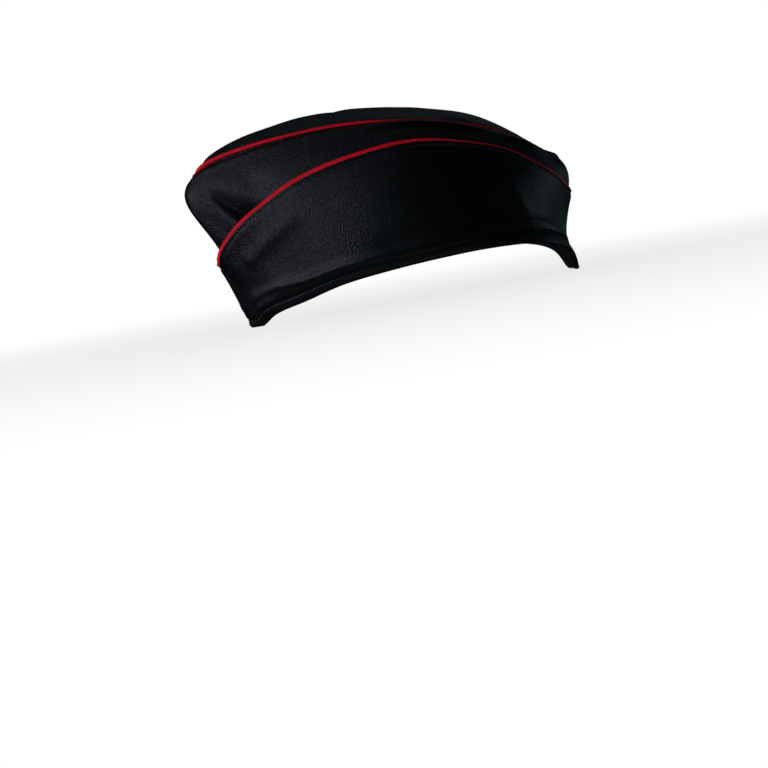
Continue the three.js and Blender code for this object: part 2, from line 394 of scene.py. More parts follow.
def turn_up_out(cap, u, h, seed):
    """How far the turn-up's outer face is from the wall.

    Stand-off and thickness, the wall's dents, a valley where the hem is stitched, a soft bulge above it, a
    swell below it, and a groove under the piping's stitches.
    """
    s = sections_at(u)
    place, z = u * HALF_ROUND, s["rim_lift"] + h * s["height"]
    hem, above = hem_at(cap, u), h * s["height"]
    dent = turn_up_dent(place, z, above, seed, hem)
    back = smooth((u - 0.7) / 0.2)
    lively = 0.8 + 1.3 * hill(place, 99, 40)
    valley_in = (0.75 + 0.35 * back) * hill(above, hem, 1.15)
    crest = hem + 5.4 + 3.6 * (1 - smooth((place - 50) / 35))
    bulge = lively * hill(above, crest, 3.0)
    swell = 0.35 * hill(above, hem * 0.42, hem * 0.33)
    below = (s["fold_share"] - h) * s["height"]
    groove = 0.6 * hill(below, cap.stitch_inset / MM, 1.0)
    puff = 0.3 * hill(below, 5.0, 3.0)
    gather = 0.12 * pucker(place, above - hem, seed + 2, 4.0) + 0.1 * pucker(place, below, seed + 3, 4.0)
    soft = (bulge + puff + gather) * (0.35 + 0.65 * seam_fade(place))
    return stand_off(s, h) + cap.turn_up_leather / MM + soft + swell - valley_in - groove - dent


# Meshes


def closed_mesh(name, grids, mirror=False):
    """A mesh from closed tubes. Each grid is (rows round the section, columns along the path, 3), in mm.

    Quads join the rows, which close on the first row, and each end is closed by one flat face. A tube whose
    signed volume comes out below zero has its faces turned round.
    """
    points, loops, totals, rims = [], [], [], []
    offset = 0
    for grid in grids:
        grid = grid * np.array([-1.0 if mirror else 1.0, 1.0, 1.0])
        rows, cols = grid.shape[:2]
        index = offset + np.arange(rows * cols).reshape(rows, cols)
        a, b = index, np.roll(index, -1, axis=0)
        quads = np.stack([a[:, :-1], b[:, :-1], b[:, 1:], a[:, 1:]], -1).reshape(-1, 4)
        ends = [index[::-1, 0], index[:, -1]]
        flat = grid.reshape(-1, 3)
        centred = flat - flat.mean(axis=0)
        first, second, third, fourth = (centred[quads[:, k] - offset] for k in range(4))
        volume = np.sum(first * (np.cross(second, third) + np.cross(third, fourth)))
        if volume < 0:
            quads = quads[:, ::-1]
            ends = [end[::-1] for end in ends]
        points.append(flat)
        loops += [quads.ravel(), ends[0], ends[1]]
        totals += [np.full(len(quads), 4), [rows], [rows]]
        rims.append(index[:, [0, -1]])
        offset += rows * cols
    return fill_mesh(name, np.vstack(points) * MM, np.concatenate(loops), np.concatenate(totals), rims)


def fill_mesh(name, points, loops, totals, rims):
    """Puts arrays of points and faces into a new mesh, smooth, with sharp edges round the flat ends."""
    mesh = bpy.data.meshes.new(name)
    mesh.vertices.add(len(points))
    mesh.vertices.foreach_set("co", points.astype(np.float32).ravel())
    mesh.loops.add(len(loops))
    mesh.loops.foreach_set("vertex_index", loops.astype(np.int32))
    mesh.polygons.add(len(totals))
    starts = np.concatenate([[0], np.cumsum(totals)[:-1]])
    mesh.polygons.foreach_set("loop_start", starts.astype(np.int32))
    mesh.polygons.foreach_set("use_smooth", np.ones(len(totals), bool))
    mesh.update(calc_edges=True)
    mesh.validate()
    side = np.zeros(len(points), np.int32)
    for number, pair in enumerate(rims):
        side[pair[:, 0]] = 2 * number + 1
        side[pair[:, 1]] = 2 * number + 2
    pairs = np.empty(len(mesh.edges) * 2, np.int32)
    mesh.edges.foreach_get("vertices", pairs)
    low, high = side[pairs].reshape(-1, 2).T
    mesh.edges.foreach_set("use_edge_sharp", (low == high) & (low > 0))
    return mesh


def add_value(mesh, name, values):
    """Stores one number for each point of a mesh."""
    layer_of_values = mesh.attributes.new(name, "FLOAT", "POINT")
    layer_of_values.data.foreach_set("value", np.asarray(values, np.float32).ravel())


def line_inside(mesh, grid, first, last, material):
    """Gives the faces from row first to row last of a one-tube mesh a second material."""
    steps = grid.shape[1] - 1
    index = np.zeros(len(mesh.polygons), np.int32)
    index[first * steps:last * steps] = 1
    mesh.polygons.foreach_set("material_index", index)
    mesh.materials.append(material)


def add_object(name, data):
    """Puts a new object into the scene."""
    item = bpy.data.objects.new(name, data)
    bpy.context.scene.collection.objects.link(item)
    return item


def add_piece(mesh, slot, *nodes):
    """Makes a mesh a piece of the cap that rides on the root and stands for its CAD nodes."""
    if not mesh.polygons:
        raise RuntimeError(f"{mesh.name} came out empty")
    piece = add_object(mesh.name, mesh)
    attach(piece, "root")
    if nodes:
        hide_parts(*nodes)


SIDES = (("left", False, 11), ("right", True, 47))  # name, whether it is mirrored, and its seed
TOP_SEED = 23
CROWN_ROWS, TURN_UP_ROWS, TOP_ROWS = 120, 100, 90  # rows of points on each panel's outer face
INNER_ROWS, TOP_INNER_ROWS = 36, 40  # rows on the inner faces
ROUND_ROWS, LIP_ROWS, LIP_BACK_ROWS = 8, 11, 8  # rows on each quarter of the hem's foot, up its lip and down
FLESH_FROM = TURN_UP_ROWS + 12  # the turn-up's row inside the hem's foot where the flesh side starts
PANEL_STEPS, TOP_STEPS, BEAD_STEPS, STITCH_STEPS = 440, 360, 520, 7  # points along a row
BEAD_SIDES, STITCH_SIDES = 20, 6  # points round a section
STITCH_SHARE = 0.39  # half a stitch's length, as a share of the pitch
STITCH_SWAY, STITCH_LEAN = 0.12, 0.16  # how far stitches stray along their row, and their ends across it
ROW_MARGIN = 1.0  # kept free at both ends of a row of stitches


def crown_panel(cap, seed):
    """A side panel: rows up its outer face from inside the hem to the top seam, and down its inner face."""
    u = columns(PANEL_STEPS)[None, :]
    s = sections_at(u)
    low = (cap.turn_up_leather / MM + LAYER_GAP) / s["height"]
    high = 1 - seam_share(u) * top_bead_room(cap, u)
    v = np.linspace(0, 1, CROWN_ROWS)[:, None]
    h = low + (high - low) * (1 - (1 - v) ** 1.25)
    length = (high - h) / seam_share(u)
    leather = cap.crown_leather / MM
    out = crown_out(cap, np.broadcast_to(u, h.shape), h, seed)
    roll = edge_roll(length, 0.7) + seam_roll(u, h, 0.8)
    outer = sewn(u, h, out - roll)
    back_h = low + (high - low) * np.linspace(1, 0, INNER_ROWS)[:, None]
    back_out = crown_out(cap, np.broadcast_to(u, back_h.shape), back_h, seed) - leather
    inner = sewn(u, back_h, np.minimum(back_out, -leather * 0.6))
    worn = np.concatenate([np.exp(-length / 2.0), np.zeros_like(back_h)])
    return np.concatenate([outer, inner]), worn


def turn_up(cap, seed):
    """A turn-up: rows down its outer face, round the hem, up the lip inside, and back round to its edge."""
    u = columns(PANEL_STEPS)[None, :]
    s = sections_at(u)
    edge, hem = s["fold_share"] * s["height"], hem_at(cap, u)
    leather, crown = cap.turn_up_leather / MM, cap.crown_leather / MM
    lip_top, lip_in = hem - LIP_DROP, -crown - LIP_GAP
    lip_out, lip_half = lip_in - LIP_LEATHER * leather, LIP_LEATHER / 2 * leather
    v = np.linspace(0, 1, TURN_UP_ROWS)[:, None]
    down = edge + (HEM_ROUND - edge) * (1 - (1 - v) ** 1.5)
    face = turn_up_out(cap, np.broadcast_to(u, down.shape), down / s["height"], seed)
    foot_out = turn_up_out(cap, u, HEM_ROUND / s["height"], seed)
    turn = np.linspace(0, np.pi / 2, ROUND_ROWS + 1)[1:, None]
    rise = np.linspace(0, 1, LIP_ROWS + 1)[1:, None]
    over = np.linspace(0, np.pi, ROUND_ROWS + 1)[1:-1, None]
    fall = np.linspace(1, 0, LIP_BACK_ROWS)[:, None]
    back = leather + INNER_FROM + (edge - leather - INNER_FROM) * np.linspace(0, 1, INNER_ROWS)[:, None]
    back_place = np.broadcast_to(u, back.shape) * HALF_ROUND
    back_dent = turn_up_dent(back_place, s["rim_lift"] + back, back, seed, hem)
    # Each part of the section, in its order: height above the rim, and distance out of the wall.
    section = (
        (down, face - edge_roll(edge - down, 1.2)),
        (HEM_ROUND * (1 - np.sin(turn)), foot_out - HEM_ROUND * (1 - np.cos(turn))),
        (HEM_ROUND * (1 - np.cos(turn)), lip_out + HEM_ROUND * (1 - np.sin(turn))),
        (HEM_ROUND + (lip_top - HEM_ROUND) * rise, lip_out - 0.25 * np.sin(np.pi * rise)),
        (lip_top + lip_half * np.sin(over), lip_out + lip_half * (1 - np.cos(over))),
        (leather + (lip_top - leather) * fall, lip_in + 0 * fall),
        (np.full((1, 1), leather), np.full((1, 1), LAYER_GAP)),
        (back, stand_off(s, back / s["height"]) - back_dent),
    )
    full = [np.broadcast_arrays(height, out, 0 * u) for height, out in section]
    rows_h = np.concatenate([part[0] for part in full]) / s["height"]
    rows_out = np.concatenate([part[1] for part in full])
    rows_out = rows_out - seam_roll(u, rows_h, 0.9) * (rows_out > leather)
    worn = np.zeros_like(rows_h)
    worn[:TURN_UP_ROWS] = np.exp(-(edge - down) / 1.8) + hill(down, 0, 3.0)
    return sewn(u, rows_h, rows_out), worn


def top_panel(cap, seed):
    """The top panel: a dome across between the two seams, with rolled edges and two soft valleys.

    Its height is z = seam + dome (1 - |q|^2.3), where q runs from -1 at the right seam to 1 at the left one.
    """
    u = columns(TOP_STEPS)[None, :]
    t = TOP_FROM + (TOP_TO - TOP_FROM) * u
    one = np.ones_like(t)
    seam = wall(t, one)
    along = wall(t + TINY, one) - wall(t - TINY, one)
    along[..., 2] = 0
    along /= np.linalg.norm(along, axis=-1, keepdims=True)
    clear = top_bead_room(cap, u)
    half = seam[..., 0] - clear * along[..., 1]
    y = seam[..., 1] + clear * along[..., 0]
    dome = sections_at(t)["dome"]

    def face(q, drop):
        x = q * half
        inset = half * (1 - np.abs(q))
        soft = 0.32 * undulation(x * 1.3, y + 40, seed) * smooth(inset / 9)
        soft = soft + 0.8 * valley(x, y, (-24, -34), (18, -12), 5, 1.0) * smooth(inset / 6)
        soft = soft + 0.4 * valley(x, y, (8, 22), (34, 44), 6, 1.0) * smooth(inset / 6)
        stitch = 0.25 * hill(inset, 1.6, 0.9)
        gather = 0.12 * pucker(y, inset, seed + 5, 4.0)
        z = seam[..., 2] + dome * (1 - np.abs(q) ** 2.3) - soft - stitch + gather * smooth(inset / 2)
        rolled = np.where(drop > 0, 0, edge_roll(inset, np.minimum(1.4, half)))
        return np.stack(np.broadcast_arrays(x, y + 0 * q, z - drop - rolled), -1), inset

    wide = np.linspace(-1, 1, TOP_ROWS)[:, None]
    upper, inset = face(np.sin(wide * np.pi / 2) * 0.35 + wide * 0.65, 0.0)
    lower, _ = face(np.linspace(1, -1, TOP_INNER_ROWS)[:, None], cap.crown_leather / MM)
    worn = np.concatenate([np.exp(-inset / 2.0), np.zeros(lower.shape[:2])])
    return np.concatenate([upper, lower]), worn


def bead_section(count):
    """Section of a piping bead: a circle with a neck that narrows and runs into the seam.

    Returns each point's place across the bead and away from the seam, as shares of half its width.
    """
    angle = np.linspace(0, 2 * np.pi, count, endpoint=False)[:, None]
    across, away = np.cos(angle), np.sin(angle)
    neck = np.clip(-away, 0, 1)
    return across * (1 - 0.55 * neck**2), away - 0.7 * neck**3


def bead_waves(u, seed):
    """Small wrinkles of the leather wrapped round the piping cord, along its length."""
    return 1 + 0.035 * pucker(u * HALF_ROUND, 0 * u, seed, 1.0)


def bead_tuck(u):
    """Distance that the piping's two ends are drawn in beside the middle plane."""
    return 1.1 * (1 - smooth(u * 18)) + 1.9 * (1 - smooth((1 - u) * 18))


def top_bead(cap, seed):
    """Piping in the seam of the top panel, with its neck running into the seam."""
    u = columns(BEAD_STEPS)[None, :]
    across, away = bead_section(BEAD_SIDES)
    size = top_bead_size(cap, u) * bead_waves(u, seed)
    tall = seam_share(u) * size
    middle = 0.35 - 0.3 * smooth(u / 0.3) - 0.6 * drawn_in(u) - bead_tuck(u)
    return sewn(u, 1 + tall * across, middle + size * 1.1 * away)


def turn_up_bead(cap, seed):
    """Piping along the turn-up's edge, with its neck running down into the edge."""
    u = columns(BEAD_STEPS)[None, :]
    s = sections_at(u)
    across, away = bead_section(BEAD_SIDES)
    size = turn_up_bead_size(cap, u) * bead_waves(u, seed)
    edge = s["fold_share"]
    fine = share(u, edge, 1.0)
    h = edge + fine * (size * 0.85 + size * away)
    dent = turn_up_dent(u * HALF_ROUND, s["fold"], edge * s["height"], seed - 3, hem_at(cap, u))
    middle = stand_off(s, edge) + cap.turn_up_leather / MM / 2 - dent
    return sewn(u, h, middle - 0.3 * bead_tuck(u) + size * 1.1 * across)


def stitch_row(cap, seed, height, outside):
    """Stitches along a row: short capsules of thread at even distances, their ends sunk into the leather.

    height(u) gives the row's h and outside(u, h) how far out the leather is. Each capsule is a tube along
    the row whose radius falls to its ends as the square root of 1 - a^8, where a runs from -1 to 1.
    """
    fine = np.linspace(0, 1, 6000)
    h = height(fine)
    out = outside(fine, h)
    path = sewn(fine[None, :], h[None, :], out[None, :])[0]
    facing = square(fine, h)
    step = np.linalg.norm(np.diff(path, axis=0), axis=1)
    run = np.concatenate([[0], np.cumsum(step)])
    pitch = cap.stitch_pitch / MM
    count = int((run[-1] - 2 * ROW_MARGIN) / pitch)
    start = (run[-1] - count * pitch) / 2 + pitch / 2
    dice = np.random.RandomState(seed)
    centre = start + pitch * np.arange(count) + dice.uniform(-STITCH_SWAY, STITCH_SWAY, count)
    a = np.linspace(-1, 1, STITCH_STEPS)
    reach = centre[:, None] + a[None, :] * pitch * STITCH_SHARE
    sink = 0.34 * np.abs(a) ** 2.5 - 0.12
    radius = cap.thread_width / MM / 2 * np.maximum(1 - np.abs(a) ** 8, 0.05) ** 0.5

    def on_path(values):
        return np.stack([np.interp(reach, run, values[:, k]) for k in range(3)], -1)

    normal = on_path(facing)
    normal /= np.linalg.norm(normal, axis=-1, keepdims=True)
    middle = on_path(path) - normal * sink[None, :, None]
    along = on_path(np.gradient(path, axis=0))
    along /= np.linalg.norm(along, axis=-1, keepdims=True)
    beside_row = np.cross(normal, along)
    lean = dice.uniform(-STITCH_LEAN, STITCH_LEAN, count)[:, None, None] * a[None, :, None]
    angle = np.linspace(0, 2 * np.pi, STITCH_SIDES, endpoint=False)[:, None, None, None]
    ring = np.cos(angle) * normal + np.sin(angle) * beside_row
    grid = middle + beside_row * lean + ring * radius[None, None, :, None]
    return [grid[:, k] for k in range(count)]


# Materials

MIX_INPUTS, MIX_OUTPUT = (0, 6, 7), 2  # the mix node's sockets for colours: factor, two colours and result


def feed(socket, value):
    """Gives an input a link from another node or a constant."""
    if isinstance(value, bpy.types.NodeSocket):
        socket.id_data.links.new(value, socket)
    else:
        socket.default_value = value


def new_material(name):
    """A material with its shader and a function that adds a node with set inputs."""
    material = bpy.data.materials.new(name)
    material.use_nodes = True
    nodes = material.node_tree.nodes

    def add(kind, settings=None, **inputs):
        node = nodes.new(kind)
        for key, value in (settings or {}).items():
            setattr(node, key, value)
        for key, value in inputs.items():
            feed(node.inputs[key], value)
        return node

    return material, nodes["Principled BSDF"], add


def ramp(add, value, low, high, to_low, to_high):
    """Value carried from the range low to high into the range to_low to to_high, held at both ends."""
    node = add("ShaderNodeMapRange", Value=value)
    for socket, number in zip(node.inputs[1:], (low, high, to_low, to_high)):
        feed(socket, number)
    return node.outputs[0]


def maths(add, operation, first, second):
    """Two values joined by one operation."""
    node = add("ShaderNodeMath", {"operation": operation})
    feed(node.inputs[0], first)
    feed(node.inputs[1], second)
    return node.outputs[0]


def mix_colour(add, factor, first, second):
    """First colour turning into second colour as factor goes from 0 to 1."""
    node = add("ShaderNodeMix", {"data_type": "RGBA"})
    for place, value in zip(MIX_INPUTS, (factor, first, second)):
        feed(node.inputs[place], value)
    return node.outputs[MIX_OUTPUT]


def tinted(colour, factor):
    """A colour made lighter or darker by a factor, as RGBA."""
    return (colour[0] * factor, colour[1] * factor, colour[2] * factor, 1.0)


def leather_material(name, colour, grain, depth, rough, shine, worn_tint, back_painted_shade=0.0):
    """Grained leather: pebbles from warped cells with painted shade in their valleys, fine pores, uneven
    gloss and tone, and worn edges.

    The grain gets flatter towards the back and the rim, where the leather is drawn tight. The last argument
    is how much of the colour is darkened at the back as painted shade, standing in for the lesser light
    there.
    """
    material, shader, add = new_material(name)
    place = add("ShaderNodeTexCoord").outputs["Object"]
    warp = add("ShaderNodeTexNoise", Vector=place, Scale=0.35 / grain, Detail=2.0)
    bent = add("ShaderNodeVectorMath", {"operation": "SCALE"}, Scale=grain * 0.9)
    feed(bent.inputs[0], warp.outputs["Color"])
    where = add("ShaderNodeVectorMath", {"operation": "ADD"})
    feed(where.inputs[0], place)
    feed(where.inputs[1], bent.outputs[0])
    spot = where.outputs[0]
    cells = add("ShaderNodeTexVoronoi", {"feature": "DISTANCE_TO_EDGE"}, Vector=spot, Scale=1.0 / grain)
    pebble = ramp(add, cells.outputs["Distance"], 0.0, 0.3, 0.0, 1.0)
    pores = add("ShaderNodeTexNoise", Vector=place, Scale=3.2 / grain, Detail=3.0, Roughness=0.6).outputs[0]
    patch = add("ShaderNodeTexNoise", Vector=place, Scale=34.0, Detail=4.0, Roughness=0.55).outputs[0]
    broad = add("ShaderNodeTexNoise", Vector=place, Scale=9.0, Detail=2.0).outputs[0]
    worn = add("ShaderNodeAttribute", {"attribute_name": "worn"}).outputs["Fac"]
    tone = mix_colour(add, ramp(add, patch, 0.3, 0.7, 0.0, 1.0), tinted(colour, 0.82), tinted(colour, 1.12))
    rubbed = maths(add, "MULTIPLY", worn, ramp(add, patch, 0.35, 0.65, 0.25, 0.8))
    tone = mix_colour(add, rubbed, tone, worn_tint)
    # Painted shade: the colour is darker in the valleys between the pebbles.
    tone = mix_colour(add, ramp(add, pebble, 0.0, 0.5, 0.45, 0.0), tone, tinted(colour, 0.5))
    parts = add("ShaderNodeSeparateXYZ", Vector=place).outputs
    back, height = parts["Y"], parts["Z"]
    # Painted shade: the colour turns darker towards the back, where less light falls.
    if back_painted_shade:
        tone = mix_colour(add, ramp(add, back, 0.012, 0.06, 0.0, back_painted_shade), tone, tinted(colour, 0.2))
    feed(shader.inputs["Base Color"], tone)
    gloss = ramp(add, patch, 0.3, 0.72, rough - 0.05, rough + 0.06)
    gloss = maths(add, "ADD", gloss, ramp(add, broad, 0.3, 0.7, -0.03, 0.03))
    gloss = maths(add, "ADD", gloss, ramp(add, pebble, 0.0, 0.6, 0.12, 0.0))
    gloss = maths(add, "SUBTRACT", gloss, maths(add, "MULTIPLY", rubbed, 0.08))
    feed(shader.inputs["Roughness"], gloss)
    relief = maths(add, "ADD", pebble, maths(add, "MULTIPLY", pores, 0.25))
    tight_back = ramp(add, back, -0.04, 0.07, 1.0, 0.32)
    tight_rim = ramp(add, height, 0.018, 0.045, 0.42, 1.0)
    tight = maths(add, "MULTIPLY", tight_back, tight_rim)
    bump = add("ShaderNodeBump", Height=relief, Strength=tight, Distance=depth)
    feed(shader.inputs["Normal"], bump.outputs[0])
    feed(shader.inputs["Specular IOR Level"], shine)
    return material


def thread_material(colour):
    """Waxed black thread: a twist of fine diagonal ridges and uneven gloss."""
    material, shader, add = new_material("waxed_thread")
    place = add("ShaderNodeTexCoord").outputs["Object"]
    slant = {"bands_direction": "DIAGONAL"}
    twist = add("ShaderNodeTexWave", slant, Vector=place, Scale=1400.0, Distortion=1.0)
    fuzz = add("ShaderNodeTexNoise", Vector=place, Scale=2500.0, Detail=2.0).outputs[0]
    tone = mix_colour(add, fuzz, tinted(colour, 0.6), tinted(colour, 1.5))
    feed(shader.inputs["Base Color"], tone)
    feed(shader.inputs["Roughness"], ramp(add, fuzz, 0.3, 0.7, 0.6, 0.8))
    feed(shader.inputs["Specular IOR Level"], 0.06)
    bump = add("ShaderNodeBump", Height=twist.outputs["Fac"], Strength=0.7, Distance=0.0001)
    feed(shader.inputs["Normal"], bump.outputs[0])
    return material


def finish(cap, name):
    """One of the cap's four finishes, made the first time that it is asked for."""
    if name in bpy.data.materials:
        return bpy.data.materials[name]
    if name == "black_leather":
        return leather_material(
            name, cap.leather_colour, cap.grain, depth=0.00015, rough=cap.leather_rough, shine=0.3,
            worn_tint=(0.006, 0.006, 0.0065, 1))
    if name == "red_leather":
        return leather_material(
            name, cap.piping_colour, cap.grain * 0.7, depth=0.00002, rough=0.55, shine=0.12,
            worn_tint=(0.72, 0.02, 0.05, 1), back_painted_shade=0.75)
    if name == "flesh_side":
        return leather_material(
            name, tinted(cap.leather_colour, 4)[:3], cap.grain * 0.6, depth=0.00006, rough=0.8, shine=0.04,
            worn_tint=(0.01, 0.01, 0.011, 1))
    return thread_material(cap.thread_colour)


# Settings

LENGTH = {"unit": "LENGTH", "precision": 5}
COLOUR = {"min": 0, "max": 1, "size": 3, "subtype": "COLOR"}


class CapSettings(bpy.types.PropertyGroup):
    """Sizes and finishes of the cap."""

    crown_leather: bpy.props.FloatProperty(
        name="Crown Leather", description="Thickness of the side panels and the top panel",
        default=0.0013, min=0.0008, max=0.003, **LENGTH)
    turn_up_leather: bpy.props.FloatProperty(
        name="Turn-up Leather", description="Thickness of the turn-up",
        default=0.0015, min=0.0008, max=0.003, **LENGTH)
    hem_height: bpy.props.FloatProperty(
        name="Hem Height", description="From the rim's edge to the hem's stitches at the back",
        default=0.0078, min=0.005, max=0.012, **LENGTH)
    piping_width: bpy.props.FloatProperty(
        name="Piping Width", description="Width of the piping's bead",
        default=0.0023, min=0.0015, max=0.004, **LENGTH)
    stitch_pitch: bpy.props.FloatProperty(
        name="Stitch Pitch", description="Distance from one stitch to the next",
        default=0.0027, min=0.0015, max=0.005, **LENGTH)
    stitch_inset: bpy.props.FloatProperty(
        name="Stitch Inset", description="From the piping to the stitches beside it",
        default=0.0021, min=0.001, max=0.004, **LENGTH)
    thread_width: bpy.props.FloatProperty(
        name="Thread Width", description="Thickness of the thread",
        default=0.0008, min=0.0003, max=0.0012, **LENGTH)
    grain: bpy.props.FloatProperty(
        name="Grain", description="Size of one pebble of the leather's grain",
        default=0.0015, min=0.0005, max=0.003, **LENGTH)
    leather_rough: bpy.props.FloatProperty(
        name="Leather Roughness", description="Roughness of the black leather",
        default=0.24, min=0.1, max=0.9, subtype="FACTOR")
    leather_colour: bpy.props.FloatVectorProperty(
        name="Leather Colour", description="Colour of the crown and the turn-ups",
        default=(0.0014, 0.0018, 0.0021), **COLOUR)
    piping_colour: bpy.props.FloatVectorProperty(
        name="Piping Colour", description="Colour of the piping",
        default=(0.66, 0.003, 0.018), **COLOUR)
    thread_colour: bpy.props.FloatVectorProperty(
        name="Thread Colour", description="Colour of the stitches",
        default=(0.0009, 0.0009, 0.001), **COLOUR)


def softbox_power(name, place, default):
    """A setting for the power of one softbox."""
    return bpy.props.FloatProperty(
        name=name, description=f"Power of the softbox {place}", default=default, min=0, unit="POWER")


class StageSettings(bpy.types.PropertyGroup):
    """Floor, lights and camera."""

    floor_colour: bpy.props.FloatVectorProperty(
        name="Floor Colour", description="Colour of the floor near the cap",
        default=(0.9, 0.9, 0.9), **COLOUR)
    front_power: softbox_power("Front Light", "in front of the cap", 9.2)
    key_power: softbox_power("Key Light", "that is the bright middle of the front light", 1.6)
    low_power: softbox_power("Low Light", "in front of the cap and low down", 0.55)
    side_power: softbox_power("Side Light", "beside the cap", 1.25)
    over_power: softbox_power("Overhead Light", "above the front of the cap", 1.2)
    bounce_power: softbox_power("Bounce Light", "below the cap, as if from a pale table", 0.6)
    back_power: softbox_power("Back Light", "behind the cap", 0.68)
    rim_power: softbox_power("Rim Light", "behind the cap's far side", 0.25)
    top_power: softbox_power("Top Light", "above the cap", 0.5)
    shoulder_power: softbox_power("Shoulder Light", "high up behind the far side", 0.08)
    rear_power: softbox_power("Rear Light", "behind the right half, the only one it lights", 9.0)
    crest_power: softbox_power("Crest Light", "above the back of the right half, the only one it lights", 1.5)
    azimuth: bpy.props.FloatProperty(
        name="Azimuth", description="Camera's angle round the cap from its front",
        default=np.radians(86.0), subtype="ANGLE")
    elevation: bpy.props.FloatProperty(
        name="Elevation", description="Camera's angle above the floor",
        default=np.radians(2.0), subtype="ANGLE")
    roll: bpy.props.FloatProperty(
        name="Roll", description="Turn of the camera about its line of sight",
        default=np.radians(10.2109), subtype="ANGLE")
    distance: bpy.props.FloatProperty(
        name="Distance", description="From the middle of the rim to the camera",
        default=1.5, min=0.5, unit="LENGTH")
    lens: bpy.props.FloatProperty(
        name="Lens", description="Focal length in millimetres",
        default=108.51, min=20, unit="CAMERA")


# Operators


def add_leather(cap, node, shape, flesh_from, mirror=False):
    """Adds a leather panel in the place of a node: its rows from flesh_from on show the flesh side."""
    grid, worn = shape
    mesh = closed_mesh(f"leather_{node}", [grid], mirror)
    add_value(mesh, "worn", worn)
    mesh.materials.append(finish(cap, "black_leather"))
    line_inside(mesh, grid, flesh_from, len(grid) - 1, finish(cap, "flesh_side"))
    add_piece(mesh, "leather", node)


class SIDECAP_OT_crown_panels(bpy.types.Operator):
    """Builds the two side panels of the crown"""

    bl_idname = "side_cap.crown_panels"
    bl_label = "Crown Panels"

    def execute(self, context):
        cap = context.scene.side_cap
        for side, mirror, seed in SIDES:
            add_leather(cap, f"crown_{side}", crown_panel(cap, seed), CROWN_ROWS, mirror)
        return {"FINISHED"}


class SIDECAP_OT_top_panel(bpy.types.Operator):
    """Builds the domed panel that closes the crown"""

    bl_idname = "side_cap.top_panel"
    bl_label = "Top Panel"

    def execute(self, context):
        cap = context.scene.side_cap
        add_leather(cap, "crown_top", top_panel(cap, TOP_SEED), TOP_ROWS)
        return {"FINISHED"}


class SIDECAP_OT_turn_ups(bpy.types.Operator):
    """Builds the two turn-ups with their hems"""

    bl_idname = "side_cap.turn_ups"
    bl_label = "Turn-ups"

    def execute(self, context):
        cap = context.scene.side_cap
        for side, mirror, seed in SIDES:
            add_leather(cap, f"turn_up_{side}", turn_up(cap, seed), FLESH_FROM, mirror)
        return {"FINISHED"}


class SIDECAP_OT_piping(bpy.types.Operator):
    """Builds the piping in the top seam and along the turn-ups' edges"""

    bl_idname = "side_cap.piping"
    bl_label = "Piping"

    def execute(self, context):
        cap = context.scene.side_cap
        for side, mirror, seed in SIDES:
            for name, bead in (("top_piping", top_bead), ("turn_up_piping", turn_up_bead)):
                mesh = closed_mesh(f"red_{name}_{side}", [bead(cap, seed + 3)], mirror)
                mesh.materials.append(finish(cap, "red_leather"))
                add_piece(mesh, "piping", f"{name}_{side}")
        return {"FINISHED"}


class SIDECAP_OT_stitches(bpy.types.Operator):
    """Builds the stitches under the two pipings and along the hem"""

    bl_idname = "side_cap.stitches"
    bl_label = "Stitches"

    def execute(self, context):
        cap = context.scene.side_cap

        def under_top(u):
            return 1 - share(u, np.ones_like(u), bead_half(cap) + top_stitch(cap, u))

        def under_edge(u):
            s = sections_at(u)
            return s["fold_share"] - cap.stitch_inset / MM / s["height"]

        def on_hem(u):
            return hem_at(cap, u) / sections_at(u)["height"]

        rows = (
            ("top", under_top, crown_out),
            ("turn_up", under_edge, turn_up_out),
            ("hem", on_hem, turn_up_out),
        )
        for name, height, surface in rows:
            for side, mirror, seed in SIDES:
                tubes = stitch_row(cap, seed, height, lambda u, h, seed=seed: surface(cap, u, h, seed))
                mesh = closed_mesh(f"stitches_{name}_{side}", tubes, mirror)
                mesh.materials.append(finish(cap, "waxed_thread"))
                add_piece(mesh, "leather")
        return {"FINISHED"}


# Softboxes of each half of the cap: name, angles round the cap and above the floor in degrees, distance and
# size in metres, and colour. On the right half they are mirrored, with two more.
SOFTBOXES = (
    ("front", (15, 15), 1.6, (1.29, 1.75), (0.75, 0.79, 1)),
    ("key", (22, 0), 1.6, (0.6, 0.5), (0.75, 0.79, 1)),
    ("low", (21, -23), 1.6, (1.23, 0.4), (0.75, 0.79, 1)),
    ("side", (60, 14), 1.6, (1.16, 1.3), (0.65, 0.84, 1)),
    ("over", (34, 60), 1.6, (0.8, 0.8), (0.75, 0.79, 1)),
    ("bounce", (70, -62), 1.2, (1.4, 1.0), (0.65, 0.85, 1)),
    ("back", (193, 3), 1.6, (0.8, 0.74), (0.62, 0.85, 1)),
    ("rim", (235, 6), 1.6, (1.77, 1.0), (0.62, 0.85, 1)),
    ("top", (270, 60), 1.5, (1.2, 1.2), (0.7, 0.88, 1)),
    ("shoulder", (238, 36), 1.6, (0.5, 0.35), (0.7, 0.88, 1)),
)
RIGHT_SOFTBOXES = (
    ("rear", (115, -4), 1.6, (1.7, 1.3), (0.7, 0.85, 1)),
    ("crest", (145, 62), 1.5, (1.0, 1.0), (0.7, 0.85, 1)),
)
SOFTBOX_AIM = (0, 0.01, 0.06)  # the point that the softboxes face, in metres
STUDIO_COLOUR = (0.0025, 0.0065, 0.008, 1)
FLOOR_RADIUS, FLOOR_SIDES, DOME_RADIUS = 5.0, 64, 4.8  # lengths in metres
FRAME, SENSOR = 768, 36.0  # the frame's width in pixels, and in millimetres on the sensor
RIM_MIDDLE, RIM_PIXEL = 106.0, (415, 298)  # the rim's middle behind its front tip, and its place in the frame


